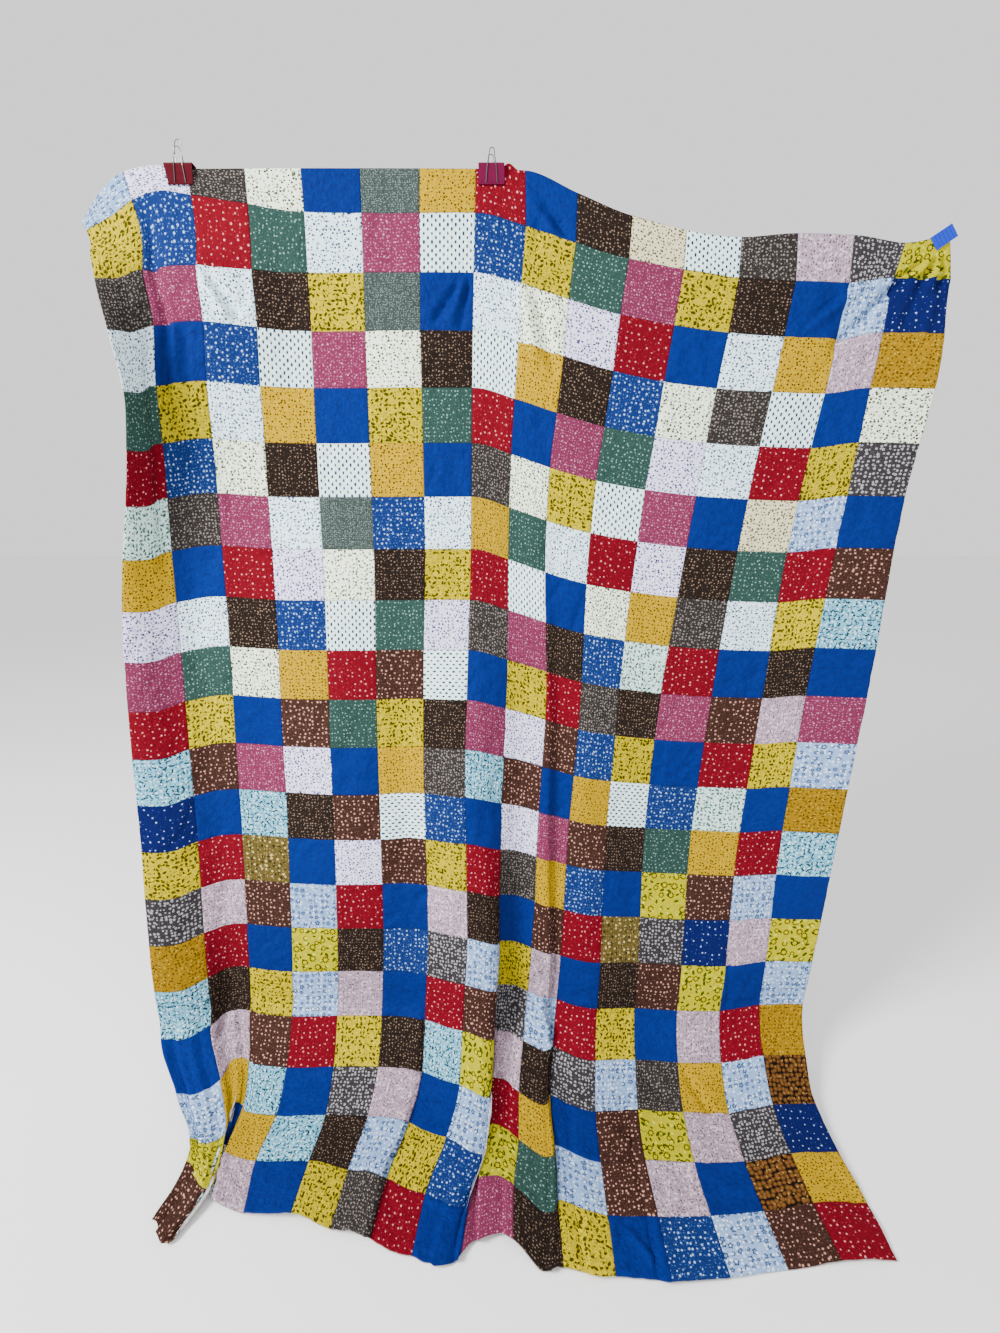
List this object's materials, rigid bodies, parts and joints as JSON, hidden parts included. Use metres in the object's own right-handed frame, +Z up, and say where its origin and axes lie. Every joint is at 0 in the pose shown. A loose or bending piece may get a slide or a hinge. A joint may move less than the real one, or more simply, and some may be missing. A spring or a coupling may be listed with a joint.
{
  "type": "patchwork quilt with binder clips and a ribbed plastic clip",
  "caption": "Patchwork bed quilt hung by its top edge from spring clips, draped in soft folds with its last rows lying on the floor.",
  "frame": {"origin": "hanging line at the middle of the middle binder clip, on the top edge of the quilt", "axes": "+X to the right along the top edge, -Y out of the quilt's front towards the viewer, +Z up"},
  "size_m": [1.7163, 0.5887, 1.965],
  "materials": {
    "pieced_cotton": "matte woven cotton",
    "crimson_steel": "semi-gloss enamel",
    "magenta_steel": "semi-gloss enamel",
    "nickelled_wire": "bright nickel",
    "blue_plastic": "moulded gloss"
  },
  "bodies": {
    "root": {"quilt": "pieced_cotton", "clip_left_body": "crimson_steel", "clip_left_handle_front": "nickelled_wire", "clip_left_handle_back": "nickelled_wire", "clip_middle_body": "magenta_steel", "clip_middle_handle_front": "nickelled_wire", "clip_middle_handle_back": "nickelled_wire", "clip_corner": "blue_plastic"}
  },
  "joints": []
}
